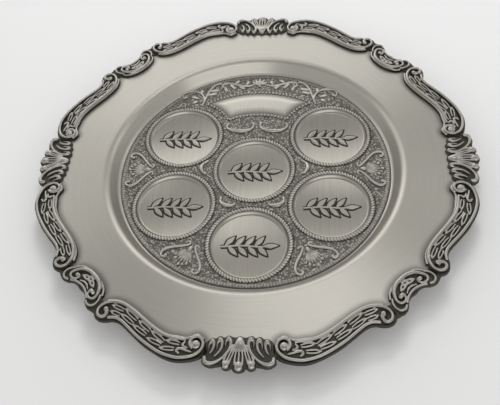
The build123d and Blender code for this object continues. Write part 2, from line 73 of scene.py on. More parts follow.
@dataclass(frozen=True)
class Pewter:
    """Antiqued pewter: bright on the crests, dark below, with brushing.

    Attributes:
        name: Material name.
        bright: Colour of the worn crests.
        dark: Colour of the patina.
        low: Height in mm at which the patina is full.
        high: Height in mm at which the metal is bright.
        rough: Roughness of the bright metal.
        brush: Direction of the brushing.
        streak: How far the brushing changes the colour.
        stretch: Anisotropy of the highlight.
        seat: Reach in mm of the darkening beside an edge, partly patina and partly painted shade, by the
            attribute of that name; 0 for none.
        dim: Share of the colour that is left right at that edge.
        lip: Height in mm below which the metal is painted lighter again, as a painted highlight on its lower
            edge; None where it isn't.
        layer: Attribute with the height in mm above the part's own ground; empty for the height in the frame.
    """

    name: str
    bright: Colour
    dark: Colour
    low: float
    high: float
    rough: float
    brush: Brush = Brush.NONE
    streak: float = 0.0
    stretch: float = 0.0
    seat: float = 0.0
    dim: float = 0.42
    lip: float | None = None
    layer: str = ""

    def material(self) -> bpy.types.Material:
        """Make the material.

        Returns:
            A node material that reads Object coordinates.
        """
        made = bpy.data.materials.new(self.name)
        made.use_nodes = True
        tree = made.node_tree
        shader = tree.nodes["Principled BSDF"]
        shader.inputs["Metallic"].default_value = 1.0
        shader.inputs["Anisotropic"].default_value = self.stretch
        shader.inputs["Anisotropic Rotation"].default_value = 0.25
        place = tree.nodes.new("ShaderNodeTexCoord").outputs["Object"]
        # Wear, with the painted highlight on the lower edge where a lip is given.
        worn = self._wear_and_lip_highlight(tree, place)
        tone = self._mix(tree, worn, self.dark, self.bright)
        # Darken beside an edge: partly patina, partly painted shade from that edge.
        if self.seat:
            reach = tree.nodes.new("ShaderNodeAttribute")
            reach.attribute_name = "seat"
            beside = self._range(tree, reach.outputs["Fac"], 0.0, self.seat, self.dim, 1.0, "SMOOTHERSTEP")
            dimmed = tree.nodes.new("ShaderNodeVectorMath")
            dimmed.operation = "SCALE"
            tree.links.new(tone, dimmed.inputs[0])
            tree.links.new(beside, dimmed.inputs["Scale"])
            tone = dimmed.outputs[0]
        rough = self._range(tree, worn, 0.0, 1.0, self.rough + 0.16, self.rough)
        if self.brush is not Brush.NONE:
            lines = self._lines(tree, place)
            shade = self._range(tree, lines, 0.25, 0.75, 1.0 - self.streak, 1.0 + self.streak)
            scaled = tree.nodes.new("ShaderNodeVectorMath")
            scaled.operation = "SCALE"
            tree.links.new(tone, scaled.inputs[0])
            tree.links.new(shade, scaled.inputs["Scale"])
            tone = scaled.outputs[0]
            bump = tree.nodes.new("ShaderNodeBump")
            bump.inputs["Strength"].default_value = 0.06
            bump.inputs["Distance"].default_value = 0.0004
            tree.links.new(lines, bump.inputs["Height"])
            tree.links.new(bump.outputs[0], shader.inputs["Normal"])
            tree.links.new(self._tangent(tree), shader.inputs["Tangent"])
        tree.links.new(tone, shader.inputs["Base Color"])
        tree.links.new(rough, shader.inputs["Roughness"])
        return made

    def _wear_and_lip_highlight(self, tree: bpy.types.NodeTree, place: bpy.types.NodeSocket) -> bpy.types.NodeSocket:
        """Wear from 0 in the recesses to 1 on the crests, blurred by a fine noise, and, below the lip, a
        painted highlight on the lower edge.
        """
        grain = tree.nodes.new("ShaderNodeTexNoise")
        grain.inputs["Scale"].default_value = PATINA_GRAIN
        grain.inputs["Detail"].default_value = 3.0
        tree.links.new(place, grain.inputs["Vector"])
        shift = self._range(tree, grain.outputs["Fac"], 0.2, 0.8, -0.2, 0.2)
        if self.layer:
            reader = tree.nodes.new("ShaderNodeAttribute")
            reader.attribute_name = self.layer
            level = reader.outputs["Fac"]
        else:
            split = tree.nodes.new("ShaderNodeSeparateXYZ")
            tree.links.new(place, split.inputs[0])
            level = self._range(tree, split.outputs["Z"], 0.0, 1.0, 0.0, 1.0 / MM)
        height = tree.nodes.new("ShaderNodeMath")
        height.operation = "ADD"
        tree.links.new(level, height.inputs[0])
        tree.links.new(shift, height.inputs[1])
        worn = self._range(tree, height.outputs[0], self.low, self.high, 0.0, 1.0, "SMOOTHSTEP")
        if self.lip is None:
            return worn
        # Painted highlight: the metal lightens again below the lip.
        below = self._range(tree, height.outputs[0], self.lip - 0.8, self.lip, 0.5, 0.0, "SMOOTHSTEP")
        both = tree.nodes.new("ShaderNodeMath")
        both.operation = "MAXIMUM"
        tree.links.new(worn, both.inputs[0])
        tree.links.new(below, both.inputs[1])
        return both.outputs[0]

    def _lines(self, tree: bpy.types.NodeTree, place: bpy.types.NodeSocket) -> bpy.types.NodeSocket:
        """Fine brush lines, from 0 to 1."""
        split = tree.nodes.new("ShaderNodeSeparateXYZ")
        tree.links.new(place, split.inputs[0])
        join = tree.nodes.new("ShaderNodeCombineXYZ")
        if self.brush is Brush.ROUND:
            flat = tree.nodes.new("ShaderNodeVectorMath")
            flat.operation = "MULTIPLY"
            flat.inputs[1].default_value = (1.0, 1.0, 0.0)
            tree.links.new(place, flat.inputs[0])
            radius = tree.nodes.new("ShaderNodeVectorMath")
            radius.operation = "LENGTH"
            tree.links.new(flat.outputs[0], radius.inputs[0])
            turn = tree.nodes.new("ShaderNodeMath")
            turn.operation = "ARCTAN2"
            tree.links.new(split.outputs["Y"], turn.inputs[0])
            tree.links.new(split.outputs["X"], turn.inputs[1])
            across, along = radius.outputs["Value"], turn.outputs[0]
            along_scale = ROUND_STREAKS
        else:
            across, along = split.outputs["X"], split.outputs["Y"]
            along_scale = STRAIGHT_STREAKS
        for socket, scale, axis in ((across, BRUSH_LINES, "X"), (along, along_scale, "Y")):
            size = tree.nodes.new("ShaderNodeMath")
            size.operation = "MULTIPLY"
            size.inputs[1].default_value = scale
            tree.links.new(socket, size.inputs[0])
            tree.links.new(size.outputs[0], join.inputs[axis])
        lines = tree.nodes.new("ShaderNodeTexNoise")
        lines.inputs["Scale"].default_value = 1.0
        lines.inputs["Detail"].default_value = 4.0
        lines.inputs["Roughness"].default_value = 0.65
        tree.links.new(join.outputs[0], lines.inputs["Vector"])
        return lines.outputs["Fac"]

    def _tangent(self, tree: bpy.types.NodeTree) -> bpy.types.NodeSocket:
        """Direction in which the brushing runs."""
        if self.brush is Brush.ROUND:
            node = tree.nodes.new("ShaderNodeTangent")
            node.direction_type = "RADIAL"
            node.axis = "Z"
            return node.outputs[0]
        node = tree.nodes.new("ShaderNodeCombineXYZ")
        node.inputs["Y"].default_value = 1.0
        return node.outputs[0]

    @staticmethod
    def _range(tree: bpy.types.NodeTree, value: bpy.types.NodeSocket, low: float, high: float, to_low: float,
               to_high: float, kind: str = "LINEAR") -> bpy.types.NodeSocket:
        """Map a value from one range to another.

        Args:
            tree: Node tree of the material.
            value: Socket to map.
            low: Lower end of its range.
            high: Upper end of its range.
            to_low: Result at the lower end.
            to_high: Result at the upper end.
            kind: Interpolation of the Map Range node.

        Returns:
            The mapped value's socket.
        """
        node = tree.nodes.new("ShaderNodeMapRange")
        node.interpolation_type = kind
        for name, number in (("From Min", low), ("From Max", high), ("To Min", to_low), ("To Max", to_high)):
            node.inputs[name].default_value = number
        tree.links.new(value, node.inputs["Value"])
        return node.outputs["Result"]

    @staticmethod
    def _mix(tree: bpy.types.NodeTree, factor: bpy.types.NodeSocket, first: Colour,
             second: Colour) -> bpy.types.NodeSocket:
        """Mix two colours by a factor."""
        node = tree.nodes.new("ShaderNodeMix")
        node.data_type = "RGBA"
        for socket in node.inputs:
            if socket.identifier == "A_Color":
                socket.default_value = (*first, 1.0)
            if socket.identifier == "B_Color":
                socket.default_value = (*second, 1.0)
        tree.links.new(factor, node.inputs["Factor"])
        return next(socket for socket in node.outputs if socket.identifier == "Result_Color")


def smooth_run(points: list[Point], steps: int = 6, closed: bool = False) -> list[Point]:
    """Points along a smooth curve through the given ones.

    Args:
        points: Points that the curve passes through.
        steps: Stretches between two of them.
        closed: Whether the curve comes back to its start.

    Returns:
        The curve's points, ends included.
    """
    count = len(points)
    if closed:
        ring = [Vector(points[i % count]) for i in range(-1, count + 2)]
    else:
        first = 2 * Vector(points[0]) - Vector(points[1])
        last = 2 * Vector(points[-1]) - Vector(points[-2])
        ring = [first, *map(Vector, points), last]
    run: list[Point] = []
    for a, b, c, d in zip(ring, ring[1:], ring[2:], ring[3:]):
        for i in range(steps):
            t = i / steps
            spot = b + 0.5 * t * ((c - a) + t * ((2 * a - 5 * b + 4 * c - d) + t * (3 * (b - c) + d - a)))
            run.append((spot.x, spot.y))
    if not closed:
        run.append((ring[-2].x, ring[-2].y))
    return run


def mirrored(points: list[Point]) -> list[Point]:
    """The points on the other side of the Y axis."""
    return [(-x, y) for x, y in points]


def swapped(points: list[Point]) -> list[Point]:
    """The points on the other side of the diagonal, in the other order."""
    return [(y, x) for x, y in reversed(points)]


def spun(section: list[Point], turns: int) -> bmesh.types.BMesh:
    """Spin a section round the Z axis.

    Args:
        section: Radius and height of each point of the section.
        turns: Steps round the axis.

    Returns:
        The spun skin, normals outward.
    """
    shape = bmesh.new()
    corners = [shape.verts.new((radius, 0.0, height)) for radius, height in section]
    edges = [shape.edges.new((a, b)) for a, b in zip(corners, corners[1:])]
    bmesh.ops.spin(shape, geom=[*corners, *edges], axis=(0, 0, 1), cent=(0, 0, 0), angle=math.tau,
                   steps=turns, use_merge=True)
    bmesh.ops.remove_doubles(shape, verts=shape.verts, dist=0.001)
    bmesh.ops.recalc_face_normals(shape, faces=shape.faces)
    return shape


def add_plate(shape: bmesh.types.BMesh, outline: list[Point], low: float, high: float) -> None:
    """Add a flat plate to a shape.

    Args:
        shape: Shape to add to.
        outline: Closed plan outline.
        low: Height of the plate's underside.
        high: Height of its top.
    """
    face = shape.faces.new([shape.verts.new((x, y, low)) for x, y in outline])
    grown = bmesh.ops.extrude_face_region(shape, geom=[face], use_keep_orig=True)
    raised = [part for part in grown["geom"] if isinstance(part, bmesh.types.BMVert)]
    bmesh.ops.translate(shape, verts=raised, vec=(0.0, 0.0, high - low))


class Relief:
    """Cast or pressed relief in millimetres, gathered from overlapping lumps and fused to one skin."""

    def __init__(self) -> None:
        """Start with no lumps."""
        self.lumps = bmesh.new()

    def stroke(self, points: list[Point], radii: list[float], heights: list[float]) -> None:
        """Add a round bar along a smooth run.

        Args:
            points: Plan points of the run.
            radii: Radius at evenly spaced stations along the run.
            heights: Height of the bar's middle at evenly spaced stations.
        """
        run = smooth_run(points, 6)
        curve = bpy.data.curves.new("stroke", "CURVE")
        curve.dimensions = "3D"
        curve.bevel_depth = 1.0
        curve.bevel_resolution = 2
        curve.use_fill_caps = True
        spline = curve.splines.new("POLY")
        spline.points.add(len(run) - 1)
        for i, (knot, (x, y)) in enumerate(zip(spline.points, run)):
            share = i / (len(run) - 1)
            knot.co = (x, y, self._between(heights, share), 1.0)
            knot.radius = self._between(radii, share)
        bar = bpy.data.objects.new("stroke", curve)
        mesh = bpy.data.meshes.new_from_object(bar)
        self.lumps.from_mesh(mesh)
        bpy.data.objects.remove(bar)
        bpy.data.curves.remove(curve)
        bpy.data.meshes.remove(mesh)
        for share, at in ((0.0, run[0]), (1.0, run[-1])):
            self.ball(at, self._between(heights, share), self._between(radii, share))

    @staticmethod
    def _between(values: list[float], share: float) -> float:
        """Value at a share of the way along evenly spaced stations."""
        if len(values) == 1:
            return values[0]
        spot = share * (len(values) - 1)
        left = min(int(spot), len(values) - 2)
        return values[left] + (values[left + 1] - values[left]) * (spot - left)

    def ball(self, at: Point, height: float, radius: float,
             size: tuple[float, float, float] = (1.0, 1.0, 1.0),
             turn: float = 0.0) -> None:
        """Add a ball or, with a size, an egg.

        Args:
            at: Plan position.
            height: Height of its middle.
            radius: Radius.
            size: Stretch along its own axes.
            turn: Angle of its first axis in plan, in degrees.
        """
        place = Matrix.Translation((*at, height)) @ Matrix.Rotation(math.radians(turn), 4, "Z")
        place = place @ Matrix.Diagonal((*size, 1.0))
        bmesh.ops.create_uvsphere(self.lumps, u_segments=16, v_segments=10, radius=radius, matrix=place)

    def slab(self, outline: list[Point], low: float, high: float) -> None:
        """Add a flat plate.

        Args:
            outline: Closed plan outline.
            low: Height of its underside.
            high: Height of its top.
        """
        add_plate(self.lumps, outline, low, high)

    def leaf(self, tail: Point, tip: Point, width: float, height: float, bar: float) -> None:
        """Add a pointed leaf, drawn by a raised bar down each side.

        Args:
            tail: Plan point of its stalk.
            tip: Plan point of its tip.
            width: Greatest width.
            height: Height of the bar's middle.
            bar: Radius of the bars.
        """
        axis = Vector(tip) - Vector(tail)
        side = Vector((-axis.y, axis.x)).normalized() * width / 2
        for sign in (1.0, -1.0):
            swells = ((0.0, 0.7), (0.35, 1.0), (0.75, 0.8), (1.0, 0.0))
            run = [tuple(Vector(tail) + axis * share + side * sign * swell) for share, swell in swells]
            self.stroke(run, [bar * 0.85, bar, bar, bar], [height])

    def blade(self, tail: Point, tip: Point, width: float, low: float, high: float) -> None:
        """Add a flat leaf.

        Args:
            tail: Plan point of its stalk.
            tip: Plan point of its tip.
            width: Greatest width.
            low: Height of its underside.
            high: Height of its top.
        """
        axis = Vector(tip) - Vector(tail)
        side = Vector((-axis.y, axis.x)).normalized() * width / 2
        swells = ((0.25, 0.78), (0.5, 1.0), (0.78, 0.62))
        left = [tuple(Vector(tail) + axis * share + side * swell) for share, swell in swells]
        right = [tuple(Vector(tail) + axis * share - side * swell) for share, swell in reversed(swells)]
        self.slab(smooth_run([tail, *right[::-1], tip, *left[::-1]], 5, True), low, high)

    def ribbon(self, points: list[Point], width: float, low: float, high: float) -> None:
        """Add a flat strip along a smooth run.

        Args:
            points: Plan points of the run.
            width: Width of the strip.
            low: Height of its underside.
            high: Height of its top.
        """
        run = [Vector(spot) for spot in smooth_run(points, 5)]
        left, right = [], []
        for i, spot in enumerate(run):
            way = (run[min(i + 1, len(run) - 1)] - run[max(i - 1, 0)]).normalized() * width / 2
            left.append((spot.x - way.y, spot.y + way.x))
            right.append((spot.x + way.y, spot.y - way.x))
        self.slab(left + right[::-1], low, high)

    def petal(self, tail: Point, tip: Point, width: float, height: float, rise: float) -> None:
        """Add a plump leaf.

        Args:
            tail: Plan point of its stalk.
            tip: Plan point of its tip.
            width: Greatest width.
            height: Height of its middle.
            rise: Half its thickness.
        """
        axis = Vector(tip) - Vector(tail)
        middle = tuple((Vector(tip) + Vector(tail)) / 2)
        turn = math.degrees(math.atan2(axis.y, axis.x))
        self.ball(middle, height, 1.0, (axis.length / 2, width / 2, rise), turn)

    def mound(self, points: list[Point], widths: list[float], rises: list[float], height: float) -> None:
        """Add a smooth swelling that runs along the Y axis.

        Args:
            points: Plan points of the run.
            widths: Half width at evenly spaced stations along the run.
            rises: Half thickness at evenly spaced stations.
            height: Height of its middle.
        """
        run = smooth_run(points, 6)
        for i, at in enumerate(run):
            share = i / (len(run) - 1)
            self.ball(at, height, 1.0, (self._between(widths, share), 2.4, self._between(rises, share)))

    def fuse(self, voxel: float, passes: int) -> bpy.types.Mesh:
        """Fuse the lumps to one closed skin.

        Args:
            voxel: Size of the fusing grid in mm.
            passes: Rounds of smoothing.

        Returns:
            The skin, in mm.
        """
        bmesh.ops.recalc_face_normals(self.lumps, faces=self.lumps.faces)
        rough = bpy.data.meshes.new("lumps")
        self.lumps.to_mesh(rough)
        self.lumps.free()
        carrier = bpy.data.objects.new("lumps", rough)
        bpy.context.scene.collection.objects.link(carrier)
        remesh = carrier.modifiers.new("fuse", "REMESH")
        remesh.mode = "VOXEL"
        remesh.voxel_size = voxel
        soften = carrier.modifiers.new("soften", "SMOOTH")
        soften.factor = 0.5
        soften.iterations = passes
        thin = carrier.modifiers.new("thin", "DECIMATE")
        thin.ratio = KEPT_FACES
        depsgraph = bpy.context.evaluated_depsgraph_get()
        skin = bpy.data.meshes.new_from_object(carrier.evaluated_get(depsgraph))
        bpy.data.objects.remove(carrier)
        bpy.data.meshes.remove(rough)
        return skin


def trimmed(skin: bpy.types.Mesh, cuts: list[tuple[Vector, Vector]]) -> bpy.types.Mesh:
    """Cut a skin off at planes and close it again.

    Args:
        skin: Closed skin.
        cuts: A point and an outward direction for each plane.

    Returns:
        The same skin, shortened.
    """
    shape = bmesh.new()
    shape.from_mesh(skin)
    for point, outward in cuts:
        everything = [*shape.verts, *shape.edges, *shape.faces]
        bmesh.ops.bisect_plane(shape, geom=everything, plane_co=point, plane_no=outward, clear_outer=True)
        rim = [edge for edge in shape.edges if edge.is_boundary]
        bmesh.ops.holes_fill(shape, edges=rim)
    shape.to_mesh(skin)
    shape.free()
    return skin


def finished(name: str, shape: bmesh.types.BMesh, metal: bpy.types.Material,
             replaces: tuple[str, ...] = (),
             sharp: float = 180.0) -> None:
    """Turn a shape in millimetres into a piece of the plate.

    Args:
        name: Name of the piece.
        shape: Its mesh, in mm, which is used up.
        metal: Its finish.
        replaces: Nodes that the piece stands for.
        sharp: Angle in degrees above which an edge stays sharp.
    """
    bmesh.ops.transform(shape, matrix=Matrix.Scale(MM, 4), verts=shape.verts)
    for face in shape.faces:
        face.smooth = True
    mesh = bpy.data.meshes.new(name)
    shape.to_mesh(mesh)
    shape.free()
    if sharp < 180.0:
        mesh.set_sharp_from_angle(angle=math.radians(sharp))
    mesh.materials.append(metal)
    piece = bpy.data.objects.new(name, mesh)
    bpy.context.scene.collection.objects.link(piece)
    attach(piece, "root")
    if replaces:
        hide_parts(*replaces)
    LOG.info("%s: %d faces", name, len(mesh.polygons))


def placed(skin: bpy.types.Mesh, turn: float, flip: bool = False) -> bmesh.types.BMesh:
    """Copy a skin, turned about the plate's axis and, if asked, mirrored first.

    Args:
        skin: Skin in mm.
        turn: Angle in degrees.
        flip: Whether the copy is mirrored in the Y axis.

    Returns:
        The copy.
    """
    copy = bmesh.new()
    copy.from_mesh(skin)
    matrix = Matrix.Rotation(math.radians(turn), 4, "Z")
    if flip:
        matrix = matrix @ Matrix.Diagonal((-1.0, 1.0, 1.0, 1.0))
    bmesh.ops.transform(copy, matrix=matrix, verts=copy.verts)
    if flip:
        bmesh.ops.reverse_faces(copy, faces=copy.faces)
    return copy


@dataclass
class Levels:
    """Heights and radii shared by the plate's parts, in mm, read off the frame."""

    floor: float = field(init=False)
    ground: float = field(init=False)
    lip: float = field(init=False)
    flange: float = field(init=False)
    flange_radius: float = field(init=False)
    medallion_radius: float = field(init=False)
    sheet: float = 1.2
    thin: float = 0.8

    def __post_init__(self) -> None:
        """Read the levels off the CAD nodes."""
        dish_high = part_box("dish")[1]
        cup_low, cup_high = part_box("bitter_herb_cup")
        medallion_low, medallion_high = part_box("medallion")
        self.floor = cup_low[2] / MM
        self.lip = cup_high[2] / MM
        self.ground = medallion_low[2] / MM + self.thin
        self.flange = dish_high[2] / MM
        self.flange_radius = dish_high[0] / MM
        self.medallion_radius = medallion_high[0] / MM


@dataclass
class Dish:
    """The spun dish: floor, step, ledge, ogee wall and flange."""

    levels: Levels
    step_radius: float = 119.8
    wall_gap: float = 1.1
    foot_run: float = 0.2
    wall_run: float = 8.4
    foot_bend: float = 6.0
    top_bend: float = 8.0
    turns: int = 360

    def build(self, metal: bpy.types.Material, seats: list[Point]) -> None:
        """Spin the sheet's section round the plate's axis.

        Args:
            metal: Finish of the dish.
            seats: Points along the inner edge of the border castings.
        """
        top = self._upper_profile()
        shape = spun(top + self._lower_profile(top), self.turns)
        # Distance to the castings' inner edges, which darkens the flange beside them: partly patina, partly
        # painted shade.
        tree = KDTree(len(seats))
        for i, (x, y) in enumerate(seats):
            tree.insert((x, y, 0.0), i)
        tree.balance()
        seat = shape.verts.layers.float.new("seat")
        for vert in shape.verts:
            vert[seat] = tree.find((vert.co.x, vert.co.y, 0.0))[2]
        finished("dish_shell", shape, metal, ("dish",), sharp=40.0)

    def _upper_profile(self) -> list[Point]:
        """Upper line of the sheet from the axis to the flange's edge."""
        level = self.levels
        ledge = level.ground - level.thin
        wall = level.medallion_radius + self.wall_gap
        corners = [(0.0, level.sheet, 0.0), (self.step_radius - 1.6, level.sheet, 1.5),
                   (self.step_radius, ledge, 1.7),
                   (wall + self.foot_run, ledge, self.foot_bend),
                   (wall + self.wall_run, level.flange, self.top_bend),
                   (level.flange_radius, level.flange, 0.0)]
        line = self._rounded(corners)
        bend, edge = line[-2][0], line[-1][0]
        rings = [(bend + (edge - bend) * i / 30, level.flange) for i in range(1, 31)]
        return line[:-1] + rings

    @staticmethod
    def _rounded(corners: list[tuple[float, float, float]]) -> list[Point]:
        """Line through corners that are rounded by the radius given with each."""
        line: list[Point] = [corners[0][:2]]
        for before, corner, after in zip(corners, corners[1:], corners[2:]):
            spot = Vector(corner[:2])
            inward = (Vector(before[:2]) - spot).normalized()
            outward = (Vector(after[:2]) - spot).normalized()
            half = inward.angle(outward) / 2
            reach = corner[2] / math.tan(half)
            middle = spot + (inward + outward).normalized() * corner[2] / math.sin(half)
            first, last = spot + inward * reach - middle, spot + outward * reach - middle
            sweep = first.angle_signed(last)
            for i in range(11):
                turned = first.copy()
                turned.rotate(Matrix.Rotation(-sweep * i / 10, 2))
                line.append(tuple(middle + turned))
        line.append(corners[-1][:2])
        return line

    def _lower_profile(self, top: list[Point]) -> list[Point]:
        """Lower line of the sheet from the flange's edge back to the axis."""
        lower: list[Point] = []
        for i, (radius, height) in enumerate(top):
            before = Vector(top[max(i - 1, 0)])
            after = Vector(top[min(i + 1, len(top) - 1)])
            way = (after - before).normalized()
            lower.append((max(radius + way.y * self.levels.sheet, 0.0), height - way.x * self.levels.sheet))
        lower[0] = (0.0, 0.0)
        return lower[::-1]


@dataclass
class Cup:
    """A shallow bowl with a rope-twist lip and a leaf sprig on its floor."""

    levels: Levels
    lip_radius: float = 38.5
    lip_width: float = 4.2
    strands: int = 84
    wall_radius: float = 31.5
    floor_sag: float = 2.2
    lap: float = 0.6
    twist: float = 0.14
    crest_twist: float = 0.34
    sprig_length: float = 50.0

    def build(self, name: str, bowl_metal: bpy.types.Material, rope_metal: bpy.types.Material,
              sprig_metal: bpy.types.Material) -> None:
        """Make the cup that stands for a node, where that node is.

        Args:
            name: The CAD node.
            bowl_metal: Finish of the bowl.
            rope_metal: Finish of the lip.
            sprig_metal: Finish of the sprig.
        """
        low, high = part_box(name)
        centre = Vector(((low[0] + high[0]) / 2 / MM, (low[1] + high[1]) / 2 / MM, 0.0))
        bowl, rope, sprig = self._bowl(), self._rope(), self._sprig()
        for shape in (bowl, rope, sprig):
            bmesh.ops.translate(shape, verts=shape.verts, vec=centre)
        finished(f"{name}_bowl", bowl, bowl_metal, (name,), sharp=50.0)
        finished(f"{name}_rope", rope, rope_metal)
        finished(f"{name}_sprig", sprig, sprig_metal)

    def _bowl(self) -> bmesh.types.BMesh:
        """Bowl as a spun sheet, its edge under the rope."""
        level = self.levels
        inside = self.lip_radius - self.lip_width
        floor = level.floor + level.thin
        depth = level.ground + 0.5 - floor
        top = [(0.0, floor)]
        for i in range(1, 73):
            radius = (inside + self.lap) * i / 72
            share = max(0.0, (radius - self.wall_radius) / (inside + self.lap - self.wall_radius))
            sag = self._sag(radius)
            top.append((radius, floor + sag + (depth - sag) * share * share))
        top.append((inside + 2.2, floor + depth))
        under = [(radius + 0.5, max(height - level.thin, level.floor)) for radius,
                 height in reversed(top[1:])]
        section = [*top, *under, (0.0, level.floor)]
        shape = spun(section, 144)
        # Distance from the edge under the rope, which darkens that crease: patina together with painted
        # shade.
        seat = shape.verts.layers.float.new("seat")
        for vert in shape.verts:
            vert[seat] = abs(vert.co.xy.length - inside - self.lap)
        return shape

    def _sag(self, radius: float) -> float:
        """Rise of the hollowed floor at a distance from the cup's middle."""
        return self.floor_sag * (radius / (self.lip_radius - self.lip_width)) ** 2

    def _rope(self) -> bmesh.types.BMesh:
        """Twisted ring: a spun circle whose radius swells in slanted strands."""
        level = self.levels
        middle = self.lip_radius - self.lip_width / 2
        thick = self.lip_width / 2
        shape = bmesh.new()
        place = Matrix.Translation((middle, 0, 0)) @ Matrix.Rotation(math.pi / 2, 4, "X")
        bmesh.ops.create_circle(shape, segments=14, radius=1.0, matrix=place)
        bmesh.ops.spin(shape, geom=[*shape.verts, *shape.edges], axis=(0, 0, 1), cent=(0, 0, 0),
                       angle=math.tau,
                       steps=self.strands * 7, use_merge=True)
        bmesh.ops.remove_doubles(shape, verts=shape.verts, dist=0.001)
        for vert in shape.verts:
            turn = math.atan2(vert.co.y, vert.co.x)
            out = math.hypot(vert.co.x, vert.co.y) - middle
            round_it = math.atan2(vert.co.z, out)
            swell = math.cos(self.strands * turn - 1.6 * math.cos(round_it))
            size = thick * (1.0 - self.twist + self.twist * swell)
            reach = middle + math.cos(round_it) * size
            crest = (level.lip - level.ground) * (1.0 - self.crest_twist + self.crest_twist * swell)
            rise = level.ground + 0.1 + math.sin(round_it) * crest
            vert.co = (reach * math.cos(turn), reach * math.sin(turn), rise)
        bmesh.ops.recalc_face_normals(shape, faces=shape.faces)
        return shape

    def _sprig(self) -> bmesh.types.BMesh:
        """Raised leaf sprig for the cup's floor."""
        floor = self.levels.floor + self.levels.thin
        half = self.sprig_length / 2
        stem = [(-half, -1.2), (-half / 3, 0.7), (half / 3, -0.5), (half - 11, -0.2)]
        leaves = [((half - 13, -0.2), (half, 0.4))]
        for i in range(4):
            root = -half + 4.0 + 8.6 * i
            leaves.append(((root, 0.6), (root + 8.0, 9.6)))
            leaves.append(((root + 2.8, -0.6), (root + 10.8, -9.6)))
        relief = Relief()
        for grow, high in ((3.0, 0.3), (0.0, 0.9)):
            relief.ribbon(stem, 1.5 + grow, floor - 0.6, floor + high)
            for tail, tip in leaves:
                reach = (Vector(tip) - Vector(tail)).normalized() * grow * 0.7
                ends = tuple(Vector(tail) - reach), tuple(Vector(tip) + reach)
                relief.blade(*ends, 4.4 + grow, floor - 0.6, floor + high)
        skin = relief.fuse(0.3, 1)
        shape = placed(skin, 0.0)
        bpy.data.meshes.remove(skin)
        rise = shape.verts.layers.float.new("rise")
        for vert in shape.verts:
            vert[rise] = vert.co.z - floor
            vert.co.z += self._sag(vert.co.xy.length)
        return shape


